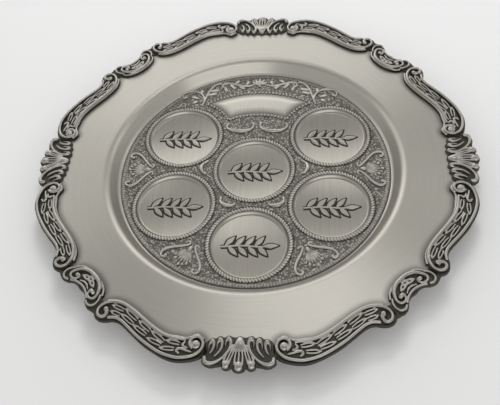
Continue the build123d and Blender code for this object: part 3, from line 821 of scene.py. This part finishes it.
@dataclass
class Medallion:
    """The pressed centre disc: stippled ground, reeded edge, sprays and scrolls."""

    levels: Levels
    cup_circle: float = 82.0
    hole: float = 36.6
    lip_radius: float = 38.2
    spacing: float = 0.52
    dot_pitch: float = 1.7
    dot_reach: float = 0.52
    dot_rise: float = 0.32
    edge_width: float = 4.8
    edge_rise: float = 0.65
    reeds: int = 300
    reed_depth: float = 0.42
    cup_angles: tuple[int, ...] = (30, 150, 210, 270, 330)

    def build(self, metal: bpy.types.Material, stippled: bpy.types.Material) -> None:
        """Make the ground, its edge and all its relief.

        Args:
            metal: Finish of the relief.
            stippled: Finish of the ground.
        """
        self._ground(stippled)
        self._edge(metal)
        spray = self._spray()
        for name, turn in (("right", 0), ("left", 180), ("front_left", 240), ("front_right", 300)):
            finished(f"spray_{name}", placed(spray, turn), metal)
        scrolls = self._scrolls()
        for name, flip in (("right", False), ("left", True)):
            finished(f"scrollwork_{name}", placed(scrolls, 0.0, flip), metal)
        finished("palmette", placed(self._palmette(), 0.0), metal)

    def _ground(self, metal: bpy.types.Material) -> None:
        """Stippled sheet, pierced for the cups."""
        radius = self.levels.medallion_radius - 0.4
        count = round(2 * radius / self.spacing)
        shape = bmesh.new()
        bmesh.ops.create_grid(shape, x_segments=count, y_segments=count, size=radius)
        turns = [math.radians(angle) for angle in self.cup_angles]
        centres = [Vector((0.0, 0.0))]
        centres += [Vector((math.cos(turn), math.sin(turn))) * self.cup_circle for turn in turns]

        def waste(face: bmesh.types.BMFace) -> bool:
            spot = face.calc_center_median().xy
            return spot.length > radius or any((spot - centre).length < self.hole for centre in centres)

        bmesh.ops.delete(shape, geom=[face for face in shape.faces if waste(face)], context="FACES")
        # Distance from the cups' lips, which darkens the ground round them: patina together with painted
        # shade.
        seat = shape.verts.layers.float.new("seat")
        for vert in shape.verts:
            near = noise.voronoi(Vector((vert.co.x / self.dot_pitch, vert.co.y / self.dot_pitch, 0.0)))[0][0]
            vert.co.z = self.levels.ground + self.dot_rise * max(0.0, 1.0 - (near / self.dot_reach) ** 2)
            vert[seat] = min((vert.co.xy - centre).length for centre in centres) - self.lip_radius
        finished("medallion_ground", shape, metal, ("medallion",))

    def _edge(self, metal: bpy.types.Material) -> None:
        """Reeded half-round ring on the medallion's edge."""
        outside, ground = self.levels.medallion_radius, self.levels.ground
        section = []
        for i in range(9):
            share = i / 8
            rise = self.edge_rise * math.sin(math.pi * share) ** 0.4
            section.append((outside - self.edge_width * (1 - share), ground + rise))
        shape = spun(section, self.reeds * 5)
        for vert in shape.verts:
            turn = math.atan2(vert.co.y, vert.co.x)
            vert.co.z -= self.reed_depth * (vert.co.z - ground) * (0.5 - 0.5 * math.cos(self.reeds * turn))
        bmesh.ops.recalc_face_normals(shape, faces=shape.faces)
        finished("medallion_edge", shape, metal)

    def _spray(self) -> bpy.types.Mesh:
        """Fan of leaves between two scrolled arms, along +X."""
        ground = self.levels.ground
        relief = Relief()
        arm = [(96.4, 6.4), (95.4, 4.4), (97.0, 2.8), (100.4, 5.4), (104.4, 10.2), (108.4, 15.4),
               (112.4, 18.6),
               (116.6, 19.6), (119.6, 17.6), (119.2, 14.8), (116.8, 14.6)]
        for side in (1.0, -1.0):
            run = [(x, side * y) for x, y in arm]
            relief.stroke(run, [0.9, 1.0, 1.2, 1.45, 1.4, 1.2, 1.5], [ground + 0.3])
        relief.ball((101.0, 0.0), ground, 2.0, (1.6, 1.0, 0.8))
        for angle, length in ((0, 18.5), (11, 17.5), (-11, 17.5), (22, 16.0), (-22, 16.0), (33, 14.0),
                              (-33, 14.0)):
            turn = math.radians(angle)
            far = (100.0 + length * math.cos(turn), length * math.sin(turn))
            near = (102.5, 3.5 * math.sin(turn))
            relief.petal(near, far, 2.6, ground, 0.75)
            relief.ball(far, ground + 0.3, 1.15 if angle % 2 else 1.5, (1.2, 1.0, 0.8), angle)
        return relief.fuse(0.4, 1)

    def _scrolls(self) -> bpy.types.Mesh:
        """Right half of the scrolls above and below the plaque and round the centre cup."""
        ground = self.levels.ground
        relief = Relief()
        runs = [
            [(57.5, 83), (55.8, 89), (57.4, 96), (62.5, 101.2), (69.5, 103), (76, 101.2), (79, 97),
             (77.4, 93.6), (74.6, 94.4)],
            [(57, 83), (54.5, 92), (51, 104), (45.5, 111.5), (41, 113.6)],
            [(4, 113), (9, 109.8), (16, 109.2), (24, 111.4), (31, 113.6), (37, 112.4), (38.6, 108.8),
             (35.4, 107.6)],
            [(4.4, 58), (3.2, 54), (5.6, 50), (10.5, 47.8), (16, 47), (22.5, 47.6), (27.4, 50), (29.8, 53.6),
             (28.4, 56.4)],
            [(44.6, 9.6), (48.6, 6.4), (50, 1), (47.6, -4), (45.4, -5)],
            [(28.4, -33), (28.4, -37.6), (24, -41.6), (17.4, -41.6), (15.6, -40)],
        ]
        stem = [0.9, 1.3, 1.4, 1.3, 1.1, 1.5]
        crescent = [1.4, 1.1, 1.8, 2.3, 1.8, 1.1, 1.5]
        for run, radii in zip(runs, [stem] * 3 + [crescent] * 3):
            relief.stroke(run, radii, [ground + 0.2])
        leaves = [((53, 97), (42, 100)), ((51.4, 102), (40, 104.8)), ((60.6, 92), (70.5, 95.6)),
                  ((59, 98), (59.6, 106)),
                  ((31, 112.6), (24, 104.6)), ((22, 110.4), (14.4, 104.4)), ((26.4, 112.4), (20, 118.4)),
                  ((14, 110), (10.6, 118)), ((40, 111), (33, 115.6)), ((49, 105.6), (49, 111)),
                  ((36, 108), (33, 101)),
                  ((62, 89), (68, 86))]
        for tail, tip in leaves:
            axis = Vector(tip) - Vector(tail)
            side = Vector((-axis.y, axis.x)).normalized() * 1.05
            for sign in (1.0, -1.0):
                lean = side * sign
                relief.petal(tuple(Vector(tail) + lean * 0.4), tuple(Vector(tip) + lean), 2.3, ground + 0.1,
                             1.0)
        return relief.fuse(0.4, 1)

    def _palmette(self) -> bpy.types.Mesh:
        """Upright leaves at the back of the medallion, on the middle line."""
        ground = self.levels.ground
        relief = Relief()
        for angle, length in ((0, 13.0), (26, 12.0), (-26, 12.0), (54, 10.0), (-54, 10.0)):
            turn = math.radians(angle)
            tip = (length * math.sin(turn), 109.4 + length * math.cos(turn))
            relief.petal((1.4 * math.sin(turn), 110.6), tip, 3.4, ground, 1.3)
        relief.ball((0.0, 109.2), ground + 0.3, 1.8)
        return relief.fuse(0.4, 2)


@dataclass
class Plaque:
    """Blank panel above the centre cup, with a margin of pearls."""

    levels: Levels
    cup_circle: float = 82.0
    inner: float = 67.0
    outer: float = 101.0
    side: float = 45.5
    margin: float = 3.2
    pearl: float = 1.35
    pitch: float = 3.6
    spacing: float = 0.8
    sunk: float = 1.4
    swell_reach: float = 9.0
    swell_rise: float = 0.3

    def build(self, panel_metal: bpy.types.Material, frame_metal: bpy.types.Material) -> None:
        """Make the swelling panel and the frame of pearls round it.

        Args:
            panel_metal: Finish of the panel.
            frame_metal: Finish of the frame.
        """
        ground = self.levels.ground
        shape = bmesh.new()
        add_plate(shape, self._outline(0.0, 1.2), ground, ground + 0.1)
        for x, y in self._outline(self.margin / 2, self.pitch):
            place = Matrix.Translation((x, y, ground + 0.4))
            bmesh.ops.create_uvsphere(shape, u_segments=12, v_segments=8, radius=self.pearl, matrix=place)
        bmesh.ops.recalc_face_normals(shape, faces=shape.faces)
        finished("plaque_frame", shape, frame_metal, sharp=45.0)
        finished("plaque_panel", self._panel(), panel_metal, ("plaque",))

    def _panel(self) -> bmesh.types.BMesh:
        """Panel that swells from the pearls to its middle, its edge sunk in the frame."""
        shape = bmesh.new()
        wide = round(2 * self.outer / self.spacing)
        bmesh.ops.create_grid(shape, x_segments=wide, y_segments=wide, size=self.outer)
        edge = self.margin - self.sunk
        waste = [face for face in shape.faces if self._depth(face.calc_center_median().xy) < edge]
        bmesh.ops.delete(shape, geom=waste, context="FACES")
        # Depth inside the frame, which darkens the panel along its edge: patina together with painted shade.
        seat = shape.verts.layers.float.new("seat")
        for vert in shape.verts:
            depth = self._depth(vert.co.xy) - self.margin
            share = min(max(depth / self.swell_reach, 0.0), 1.0)
            swell = share * share * (3.0 - 2.0 * share)
            sunk = 0.3 * min(max(depth, -self.sunk), 0.4)
            vert.co.z = self.levels.ground + 0.35 + self.swell_rise * swell + sunk
            vert[seat] = depth
        return shape

    def _depth(self, spot: Vector) -> float:
        """Distance of a plan point inside the plaque's edge."""
        turn = math.radians(30)
        cups = [Vector((side * math.cos(turn), math.sin(turn))) * self.cup_circle for side in (1.0, -1.0)]
        sides = min((spot - cup).length for cup in cups) - self.side
        if spot.y < 0.0:
            return -self.outer
        return min(spot.length - self.inner, self.outer - spot.length, sides)

    def _outline(self, inset: float, step: float) -> list[Point]:
        """Evenly spaced points round the plaque, drawn in from its edge.

        Args:
            inset: Distance from the edge.
            step: Spacing of the points.

        Returns:
            The points, counter-clockwise.
        """
        inner, outer, side = self.inner + inset, self.outer - inset, self.side + inset
        cup = Vector((math.cos(math.radians(30)), math.sin(math.radians(30)))) * self.cup_circle
        low = self._meet(inner, cup, side)
        high = self._meet(outer, cup, side)
        from_cup = [math.atan2(spot.y - cup.y, spot.x - cup.x) for spot in (low, high)]
        low_turn, high_turn = math.atan2(low.y, low.x), math.atan2(high.y, high.x)
        axis = Vector((0, 0))
        bottom = self._arc(axis, inner, math.pi - low_turn, low_turn, step)
        right = self._arc(cup, side, from_cup[0], from_cup[1], step)
        top = self._arc(axis, outer, high_turn, math.pi - high_turn, step)
        left = [(-x, y) for x, y in reversed(right)]
        return bottom + right + top + left

    @staticmethod
    def _meet(radius: float, cup: Vector, side: float) -> Vector:
        """Where a circle about the plate's axis meets one about the right-hand cup, on the plaque's side."""
        far = cup.length
        along = (radius * radius - side * side + far * far) / (2 * far)
        off = math.sqrt(max(radius * radius - along * along, 0.0))
        way = cup.normalized()
        return way * along + Vector((-way.y, way.x)) * off

    @staticmethod
    def _arc(centre: Vector, radius: float, start: float, end: float, step: float) -> list[Point]:
        """Points in the middle of equal steps along an arc."""
        count = max(2, round(abs(end - start) * radius / step))
        turns = [start + (end - start) * (i + 0.5) / count for i in range(count)]
        return [(centre.x + radius * math.cos(turn), centre.y + radius * math.sin(turn)) for turn in turns]


@dataclass
class Border:
    """The cast border: shells, laurel bands and corner scrolls over the dish's edge."""

    levels: Levels
    shell_split: float = 8.3
    corner_split: float = 37.4
    skirt: float = 2.0
    bed: float = 1.1
    rail: float = 3.1
    seam: float = 0.05
    shell_grid: float = 0.3
    grid: float = 0.32
    shell_inner: tuple[Point, ...] = ((0, 173.2), (4, 174.4), (8.8, 172.9), (12, 174.6), (15.4, 173.4),
                                      (18.4, 175.4),
                                      (21.4, 175.2), (25, 178), (28, 182.5))
    band_inner: tuple[Point, ...] = ((113, 146.9), (108, 145.2), (103, 144.9), (98, 145.8), (92.5, 148.3),
                                     (85, 153.2),
                                     (77.5, 159.2), (70, 165.2), (62.5, 170.3), (55, 173.8), (48, 175.0),
                                     (42, 176.0),
                                     (37.8, 175.2), (33, 173.2), (28.2, 176.0), (25, 180.5))
    corner_inner: tuple[Point, ...] = ((110.5, 146.2), (114.2, 144.6), (114.4, 140.5), (114.2, 136),
                                       (116.2, 130.8),
                                       (119, 126.4), (122.4, 122.4))

    def build(self, metal: bpy.types.Material) -> None:
        """Cast each form once and set its copies round the plate.

        Args:
            metal: Finish of the border.
        """
        shell, band, corner = self._shell(), self._band(), self._corner()
        sides = (("back", "right", "left", 0), ("right", "front", "back", -90),
                 ("front", "left", "right", 180),
                 ("left", "back", "front", 90))
        for side, clockwise, counter, turn in sides:
            self._set(f"shell_mount_{side}", shell, turn, False, metal)
            self._set(f"laurel_band_{side}_{clockwise}", band, turn, False, metal)
            self._set(f"laurel_band_{side}_{counter}", band, turn, True, metal)
        for name, turn in (("back_right", 0), ("front_right", -90), ("front_left", 180), ("back_left", 90)):
            self._set(f"corner_scroll_{name}", corner, turn, False, metal)

    @staticmethod
    def _set(node: str, skin: bpy.types.Mesh, turn: float, flip: bool, metal: bpy.types.Material) -> None:
        """Set a copy of a casting in the place of its node."""
        finished(f"{node}_cast", placed(skin, turn, flip), metal, (node,))

    def _plate(self, relief: Relief, outer: list[Point], inner: list[Point]) -> None:
        """Add a casting's bed and its skirt outside the dish's edge.

        Args:
            relief: Relief to add to.
            outer: Outer line of the casting, smooth.
            inner: Inner line, drawn the other way, smooth.
        """
        flange = self.levels.flange
        clear = self.levels.flange_radius + 0.3
        relief.slab(outer + inner, flange + 0.02, flange + self.bed)
        pushed = []
        for x, y in inner:
            far = math.hypot(x, y)
            grow = max(clear, far) / far
            pushed.append((x * grow, y * grow))
        relief.slab(outer + pushed, flange - self.skirt, flange + 0.5)

    def _flank(self, relief: Relief, line: list[Point], inward: bool) -> None:
        """Add a rounded flank along an edge of a casting.

        Args:
            relief: Relief to add to.
            line: Edge of the casting.
            inward: Whether the edge lies on the flange rather than outside it.
        """
        flange = self.levels.flange
        if inward:
            relief.stroke(line, [1.25], [flange + 1.25])
        else:
            relief.stroke(line, [1.0], [flange + 0.4])
            relief.stroke(line, [1.1], [flange - self.skirt + 1.1])

    def seats(self) -> list[Point]:
        """Points along the inner edges of the bands and corners, in plan."""
        half = smooth_run(self.band_inner, 4) + smooth_run(self.corner_inner, 5)
        points: list[Point] = []
        for x, y in half:
            for px, py in ((x, y), (y, x)):
                points += [(px, py), (-px, py), (px, -py), (-px, -py)]
        return points

    def _cuts(self, start: float, end: float) -> list[tuple[Vector, Vector]]:
        """Planes that bound a casting between two angles.

        Args:
            start: Lower angle in degrees.
            end: Upper angle in degrees.

        Returns:
            A point and an outward direction for each plane.
        """
        cuts = []
        for angle, sign in ((start, 1.0), (end, -1.0)):
            turn = math.radians(angle)
            outward = Vector((math.sin(turn), -math.cos(turn), 0.0)) * sign
            cuts.append((-outward * self.seam, outward))
        return cuts

    def _shell(self) -> bpy.types.Mesh:
        """Shell on +Y: a bell, three ribbed lobes and a wing of nested hooks on each side."""
        flange = self.levels.flange
        outer = [(29.4, 187.5), (28.2, 192.4), (25.4, 196.2), (21.4, 197.6), (17, 196.8), (13.6, 196.4),
                 (12.4, 199.2),
                 (9, 200.4), (5.4, 198.8), (4, 200.8), (0, 202)]
        relief = Relief()
        inside = smooth_run([*mirrored(self.shell_inner)[:0:-1], *self.shell_inner], 5)
        outside = smooth_run([*outer, *mirrored(outer)[-2::-1]], 5)
        self._plate(relief, inside, outside)
        relief.mound([(0, 176.4), (0, 178.4), (0, 180.4), (0, 182.4), (0, 184.4)], [2.7, 3.8, 4.6, 5.2, 5.4],
                     [1.7, 2.4, 2.6, 2.3, 1.4], flange + 1.5)
        hooks = [
            ([(10.7, 182), (10.6, 178.5), (8.6, 175.9), (6.9, 178.2), (6.9, 181.6), (8.2, 185.4),
              (10.4, 188.8), (13, 191.8),
              (16.3, 194.2), (19.8, 195.6), (23, 195.7), (25.4, 194.2), (26, 191.6)],
             [0.6, 0.8, 1.8, 1.5, 1.15, 1.0, 1.0, 1.05, 1.15, 1.4, 1.7, 1.8, 1.6]),
            ([(17, 184.5), (16.9, 180.5), (14.9, 176.8), (13.4, 179), (13.3, 182), (14.3, 185.2),
              (16.4, 188.2), (18.4, 190.2)],
             [0.5, 0.7, 1.8, 1.4, 1.1, 1.0, 0.8, 0.5]),
            ([(23.3, 184.5), (22.9, 181), (20.8, 178), (19.6, 179.8), (19.5, 182.4), (20.4, 185.4),
              (22, 188)],
             [0.5, 0.7, 1.8, 1.4, 1.1, 0.9, 0.5]),
        ]
        for side in (1.0, -1.0):
            for hook, radii in hooks:
                heights = [flange + rise for rise in (1.4, 2.2, 2.4, 2.4, 2.4, 2.4)]
                relief.stroke([(side * x, y) for x, y in hook], radii, heights)
                relief.ball((side * hook[2][0], hook[2][1] + 0.3), flange + 2.0, 2.0)
            self._flank(relief, [(side * x, y) for x, y in outer[:6]], False)
            ribs = [[(1.4, 182.8), (2.7, 189.4), (3, 196)], [(2.9, 182.8), (5.2, 189.8), (7.2, 195.6)],
                    [(4.1, 182.2), (7.3, 189.6), (9.4, 195.8)], [(5, 181.4), (9.4, 189), (11.6, 195.2)]]
            for rib in ribs:
                self._rib(relief, [(side * x, y) for x, y in rib])
            self._bulb(relief, (side * 9.5, 196.3), 3.1, side * -18.0)
        self._rib(relief, [(0, 183), (0, 190), (0, 196)])
        self._bulb(relief, (0, 197.3), 3.9, 0.0)
        return trimmed(relief.fuse(self.shell_grid, 1),
                       self._cuts(90 - self.shell_split, 90 + self.shell_split))

    def _rib(self, relief: Relief, run: list[Point]) -> None:
        """Add a shell rib from the bell to a bulb."""
        flange = self.levels.flange
        relief.stroke(run, [0.65, 0.78, 0.95], [flange + 2.6, flange + 2.5, flange + 2.4])

    def _bulb(self, relief: Relief, at: Point, radius: float, turn: float) -> None:
        """Add the rounded end of a shell lobe, down to the edge of the casting."""
        flange = self.levels.flange
        relief.ball(at, flange + 4.0 - radius, radius, (1.0, 1.18, 1.0), turn)
        relief.ball(at, flange - 0.4, radius * 0.98, (1.0, 1.18, 0.5), turn)

    def _band(self) -> bpy.types.Mesh:
        """Laurel band on the +X side of the shell: two rails with scrolled ends and paired leaves between."""
        outer = [(25, 185), (28, 188.8), (31, 191.2), (37, 193.2), (45, 194.1), (52, 193.3), (60, 190.2),
                 (67.5, 186.0),
                 (75, 181.2), (85, 172.8), (92, 166.6), (97, 163.2), (102, 161.9), (108, 162.6), (113, 161.8),
                 (116.6, 158.8), (118.6, 153)]
        outer_rail = [(36.2, 184.2), (38, 181.4), (37.6, 178), (35, 175.6), (31.5, 175.4), (28.7, 178),
                      (27.8, 182.4),
                      (30.2, 187.2), (35.5, 190.6), (43, 192.1), (50, 191.8), (60, 188.6), (70, 182.8),
                      (80, 175.5),
                      (90, 166.6), (95, 162.6), (100, 160.6), (105, 160.6)]
        inner_rail = [(42, 178), (48, 176.9), (55, 175.4), (62.5, 171.9), (70, 166.8), (77.5, 160.8),
                      (85, 154.8),
                      (92.5, 149.7), (98, 147.4), (104, 146.7), (109, 147.8), (113, 150.4), (114.9, 154.2),
                      (114, 158.2),
                      (110.8, 160), (107.8, 158.2), (107.4, 155), (108.2, 153.4)]
        flange = self.levels.flange
        relief = Relief()
        self._plate(relief, smooth_run(outer, 4), smooth_run(self.band_inner, 4))
        self._flank(relief, outer[1:], False)
        self._flank(relief, self.band_inner[1:-1], True)
        relief.stroke(outer_rail, [1.25], [flange + self.rail])
        relief.stroke(inner_rail, [1.0, 1.5, 1.6, 1.5, 1.2, 1.3, 2.2], [flange + self.rail - 0.2])
        relief.ball((108.4, 154), flange + 1.4, 2.7)
        relief.ball((33.4, 181.2), flange + 1.3, 4.1, (1.0, 1.0, 0.7))
        relief.stroke([(42, 179.9), (43.4, 181.6), (42.4, 183.4), (39.8, 184.2)], [0.9, 1.3, 1.2, 0.7],
                      [flange + 2.4])
        relief.stroke([(46, 188.6), (47.7, 187), (46.4, 184.9), (43.4, 185.3), (39.8, 186.6), (36.6, 187.4)],
                      [1.0, 1.3, 1.3, 1.2, 1.0, 0.8], [flange + 2.3])
        self._laurel(relief)
        return trimmed(relief.fuse(self.grid, 1), self._cuts(90 - self.corner_split, 90 - self.shell_split))

    def _laurel(self, relief: Relief) -> None:
        """Add the paired leaves of a band, each with a slit down its middle."""
        leaves = [((46.2, 180.8), (56.4, 178.4)), ((50.2, 185.2), (61, 184.6)), ((58.4, 179.2), (69, 171.2)),
                  ((60.8, 182), (72, 176.8)), ((70.6, 170.8), (80.2, 162.8)), ((73.2, 174.4), (84.4, 166.4)),
                  ((82, 161.8), (92.2, 153)), ((85, 165.4), (95.2, 157.4)), ((94, 153.8), (104, 149.4)),
                  ((96.4, 158.2), (104.4, 154.8))]
        for tail, tip in leaves:
            relief.leaf(tail, tip, 2.75, self.levels.flange + 2.2, 0.82)

    def _corner(self) -> bpy.types.Mesh:
        """Corner scroll between +X and +Y: a C-scroll, hooks at its ends and leaves in its belly."""
        inner = self.corner_inner
        outer = [(116, 156), (121, 153.4), (125, 150.8), (127.2, 146.6), (127.8, 141.6), (130, 137.4),
                 (134, 134)]
        scroll = [(122.6, 138.4), (123.8, 136.6), (125.6, 137.8), (126, 140.8), (124.6, 143.4),
                  (121.8, 144.4), (119.2, 142.6),
                  (117.7, 138.8), (117.4, 134), (118.9, 129.2), (121, 126), (123.5, 123.5)]
        hook = [(115.6, 141.5), (116.2, 145.5), (118.4, 148.8), (121.8, 150.3), (125, 149), (126.4, 146)]
        rim = [(127, 143), (127.9, 139.2), (129.8, 135.6), (132.4, 132.4)]
        flange = self.levels.flange
        relief = Relief()
        inside = smooth_run([*inner, *swapped(inner)[1:]], 5)
        outside = smooth_run([*outer, *swapped(outer)[1:]], 5)[::-1]
        self._plate(relief, outside, inside)
        self._flank(relief, [*outer, *swapped(outer)[1:]], False)
        self._flank(relief, [*inner[2:], *swapped(inner[2:])[1:]], True)
        relief.stroke([*scroll, *swapped(scroll)[1:]],
                      [1.9, 0.9, 1.1, 1.3, 1.8, 1.95, 1.8, 1.3, 1.1, 0.9, 1.9],
                      [flange + self.rail - 0.3])
        for eye in ((122.3, 138.6), (138.6, 122.3)):
            relief.ball(eye, flange + 1.5, 2.5)
        relief.stroke([*rim, *swapped(rim)[1:]], [1.0], [flange + self.rail - 0.8])
        for turned in (hook, swapped(hook)):
            relief.stroke(turned, [0.9, 1.0, 0.9], [flange + self.rail - 0.5])
        strip = [(131.4, 128.4), (128.8, 131.8), (127.4, 135.4)]
        for turned in (strip, swapped(strip)):
            relief.stroke(turned, [0.7, 1.0, 0.7], [flange + 2.0])
        relief.leaf((127.6, 124.6), (123, 133.6), 3.0, flange + 2.2, 1.0)
        relief.leaf((124.6, 127.6), (133.6, 123), 3.0, flange + 2.2, 1.0)
        return trimmed(relief.fuse(self.grid, 1), self._cuts(self.corner_split, 90 - self.corner_split))


class Lit(Enum):
    """What a lamp lights."""

    METAL = "the metal's reflections"
    FLOOR = "the matt floor"
    BOTH = "metal and floor"


@dataclass(frozen=True)
class Studio:
    """Pale floor, soft lights and the camera at the photograph's angle."""

    focal: float = 46.47
    sensor: float = 36.0
    distance: float = 606.23
    azimuth: float = 9.60
    elevation: float = 53.95
    roll: float = -7.79
    shift_right: float = -4.115
    shift_up: float = -28.482
    raise_by: float = 2.3
    floor_tone: Colour = (0.94, 0.944, 0.95)

    def build(self) -> None:
        """Set up floor, world, lights and camera."""
        self._floor()
        self._world()
        self._lamp("back_softbox", (-0.3, 1.6, 0.92), (1.7, 1.0), 6.8, Lit.METAL)
        self._lamp("front_softbox", (0.5, -1.4, 1.05), (2.0, 1.0), 7.4, Lit.METAL)
        self._lamp("overhead_softbox", (0.08, 0.42, 1.3), (0.65, 0.4), 1.6, Lit.BOTH)
        self._lamp("left_softbox", (-1.2, 0.85, 1.2), (0.8, 0.7), 1.1, Lit.METAL)
        self._lamp("right_softbox", (1.2, 0.85, 1.2), (0.6, 0.6), 1.0, Lit.METAL)
        self._lamp("floor_softbox", (0.1, 0.95, 1.2), (0.45, 0.3), 4.5, Lit.FLOOR)
        self._camera()
        bpy.context.scene.view_settings.view_transform = "Standard"

    def _floor(self) -> None:
        """Wide pale floor under the plate."""
        shape = bmesh.new()
        bmesh.ops.create_grid(shape, x_segments=1, y_segments=1, size=6.0)
        mesh = bpy.data.meshes.new("floor")
        shape.to_mesh(mesh)
        shape.free()
        paint = bpy.data.materials.new("pale_floor")
        paint.use_nodes = True
        shader = paint.node_tree.nodes["Principled BSDF"]
        shader.inputs["Base Color"].default_value = (*self.floor_tone, 1.0)
        shader.inputs["Roughness"].default_value = 0.9
        shader.inputs["Specular IOR Level"].default_value = 0.1
        mesh.materials.append(paint)
        floor = bpy.data.objects.new("floor", mesh)
        floor.location.z = -0.0002
        bpy.context.scene.collection.objects.link(floor)

    @staticmethod
    def _world() -> None:
        """Pale surroundings, darker overhead."""
        world = bpy.data.worlds.new("studio")
        world.use_nodes = True
        tree = world.node_tree
        back = tree.nodes["Background"]
        way = tree.nodes.new("ShaderNodeTexCoord")
        split = tree.nodes.new("ShaderNodeSeparateXYZ")
        ramp = tree.nodes.new("ShaderNodeMapRange")
        for name, number in (("From Min", 0.5), ("From Max", 0.85), ("To Min", 0.85), ("To Max", 0.46)):
            ramp.inputs[name].default_value = number
        tree.links.new(way.outputs["Generated"], split.inputs[0])
        tree.links.new(split.outputs["Z"], ramp.inputs["Value"])
        tree.links.new(ramp.outputs["Result"], back.inputs["Strength"])
        back.inputs["Color"].default_value = (1.0, 0.99, 0.975, 1.0)
        bpy.context.scene.world = world

    @staticmethod
    def _lamp(name: str, place: tuple[float, float, float], size: tuple[float, float], power: float,
              lit: Lit) -> None:
        """Add a softbox that faces the plate.

        Args:
            name: Name of the lamp.
            place: Its position in metres.
            size: Width and height of its face in metres.
            power: Its power in watts.
            lit: What it lights.
        """
        lamp = bpy.data.lights.new(name, "AREA")
        lamp.shape = "RECTANGLE"
        lamp.size, lamp.size_y = size
        lamp.energy = power
        stand = bpy.data.objects.new(name, lamp)
        stand.location = place
        stand.visible_diffuse = lit is not Lit.METAL
        stand.visible_glossy = lit is not Lit.FLOOR
        stand.rotation_euler = (-Vector(place)).to_track_quat("-Z", "Y").to_euler()
        bpy.context.scene.collection.objects.link(stand)

    def _camera(self) -> None:
        """Camera that matches the photograph's view."""
        turn, rise, lean = (math.radians(angle) for angle in (self.azimuth, self.elevation, self.roll))
        back = Vector((math.sin(turn) * math.cos(rise), -math.cos(turn) * math.cos(rise), math.sin(rise)))
        level = Vector((math.cos(turn), math.sin(turn), 0.0))
        up = back.cross(level)
        right = math.cos(lean) * level + math.sin(lean) * up
        over = -math.sin(lean) * level + math.cos(lean) * up
        spot = back * self.distance + right * self.shift_right + over * self.shift_up
        spot += Vector((0, 0, self.raise_by))
        lens = bpy.data.cameras.new("photo_camera")
        lens.sensor_fit = "HORIZONTAL"
        lens.sensor_width = self.sensor
        lens.lens = self.focal
        lens.clip_start = 0.01
        view = bpy.data.objects.new("photo_camera", lens)
        turned = Matrix((right, over, back)).transposed()
        view.matrix_world = Matrix.Translation(spot * MM) @ turned.to_4x4()
        bpy.context.scene.collection.objects.link(view)
        bpy.context.scene.camera = view


def main() -> None:
    """Dress the plate, piece by piece, and set the studio round it."""
    logging.basicConfig(level=logging.INFO, format="%(name)s: %(message)s")
    levels = Levels()
    flange, ground = levels.flange, levels.ground
    dark = (0.06, 0.057, 0.049)
    bright = (0.43, 0.415, 0.375)
    crest = (0.365, 0.353, 0.32)
    # The flange darkens within 8 mm of the castings: patina together with painted shade.
    brushed = Pewter("brushed_flange", bright, bright, 0.0, 1.0, 0.33, Brush.ROUND, 0.07, 0.75, seat=8.0,
                     dim=0.46)
    worn = (0.325, 0.312, 0.278)
    # The bowl darkens within 1.2 mm of the rope: patina together with painted shade.
    bowl = Pewter("brushed_bowl", worn, worn, 0.0, 1.0, 0.3, Brush.STRAIGHT, 0.12, 0.5, seat=1.2, dim=0.5)
    sprig = Pewter("raised_sprig", worn, (0.04, 0.038, 0.032), 0.4, 0.85, 0.32, layer="rise")
    # The panel darkens within 7 mm of its edge: patina together with painted shade.
    panel = Pewter("brushed_panel", bright, bright, 0.0, 1.0, 0.32, Brush.STRAIGHT, 0.1, 0.5, seat=7.0,
                   dim=0.4)
    rope = Pewter("rope_lip", (0.47, 0.455, 0.415), (0.08, 0.076, 0.065), ground + 0.25, ground + 1.0, 0.3)
    pressed = Pewter("pressed_relief", (0.42, 0.405, 0.365), (0.12, 0.114, 0.1), ground + 0.15, ground + 1.0,
                     0.3)
    # The ground darkens within 2.4 mm of the cup lips: patina together with painted shade.
    stippled = Pewter("stippled_ground", (0.36, 0.344, 0.31), (0.12, 0.114, 0.1), ground + 0.02, ground + 0.3,
                      0.34,
                      seat=2.4, dim=0.4)
    # The lip paints a highlight along the lower edge of the border's skirt.
    cast = Pewter("cast_border", crest, dark, flange + 1.3, flange + 2.4, 0.3, lip=flange - 0.7)
    border = Border(levels)
    Dish(levels).build(brushed.material(), border.seats())
    pressed_metal = pressed.material()
    cup = Cup(levels)
    cup_finish, rope_finish, sprig_finish = bowl.material(), rope.material(), sprig.material()
    for name in ("bitter_herb_cup", "shank_bone_cup", "egg_cup", "greens_cup", "lettuce_cup",
                 "sweet_paste_cup"):
        cup.build(name, cup_finish, rope_finish, sprig_finish)
    Medallion(levels).build(pressed_metal, stippled.material())
    Plaque(levels).build(panel.material(), pressed_metal)
    border.build(cast.material())
    Studio().build()


if __name__ == "__main__":
    main()
